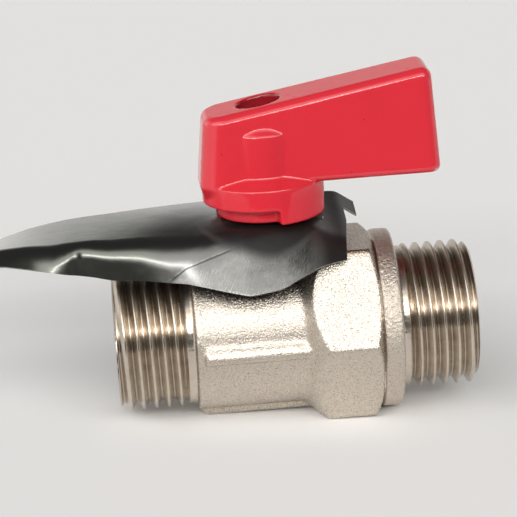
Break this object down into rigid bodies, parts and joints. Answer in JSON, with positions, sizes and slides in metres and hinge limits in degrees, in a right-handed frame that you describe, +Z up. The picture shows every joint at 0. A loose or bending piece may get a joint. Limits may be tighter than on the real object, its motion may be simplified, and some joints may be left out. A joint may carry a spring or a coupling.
{
  "type": "isolating ball valve",
  "caption": "Small nickel-plated ball valve with a male parallel pipe thread at each end, a spanner hexagon, a short red quarter-turn lever and a folded black metal tag.",
  "frame": {"origin": "centre of the inlet's end face, on the pipe axis", "axes": "+X along the pipe from inlet to outlet, +Z up the stem towards the lever, +Y to the left when looking from inlet to outlet with the lever up"},
  "size_m": [0.071, 0.0288, 0.0503],
  "materials": {
    "forged_nickel": "forged brass, shot-blasted and satin nickel plated",
    "turned_nickel": "turned brass, nickel plated",
    "seal_rubber": "moulded rubber",
    "seat_plastic": "white low-friction plastic",
    "ball_chrome": "polished hard chrome",
    "stem_brass": "turned brass",
    "red_enamel": "glossy red enamel on die-cast metal",
    "screw_steel": "zinc plated steel",
    "black_lacquer": "black lacquer on thin sheet, bare at the cut edges"
  },
  "bodies": {
    "body": {"valve_body": "forged_nickel", "end_adapter": "turned_nickel", "body_o_ring": "seal_rubber", "inlet_seat": "seat_plastic", "outlet_seat": "seat_plastic", "tag_plate": "black_lacquer"},
    "lever": {"handle": "red_enamel", "handle_screw": "screw_steel", "lock_washer": "screw_steel", "stem": "stem_brass", "lower_o_ring": "seal_rubber", "upper_o_ring": "seal_rubber", "thrust_washer": "seat_plastic", "ball": "ball_chrome"}
  },
  "joints": [
    {"name": "handle_turn", "type": "hinge", "parent": "body", "child": "lever", "pos_m": [0.0226, 0, 0], "axis": [0, 0, 1], "range_deg": [-90, 0]}
  ]
}
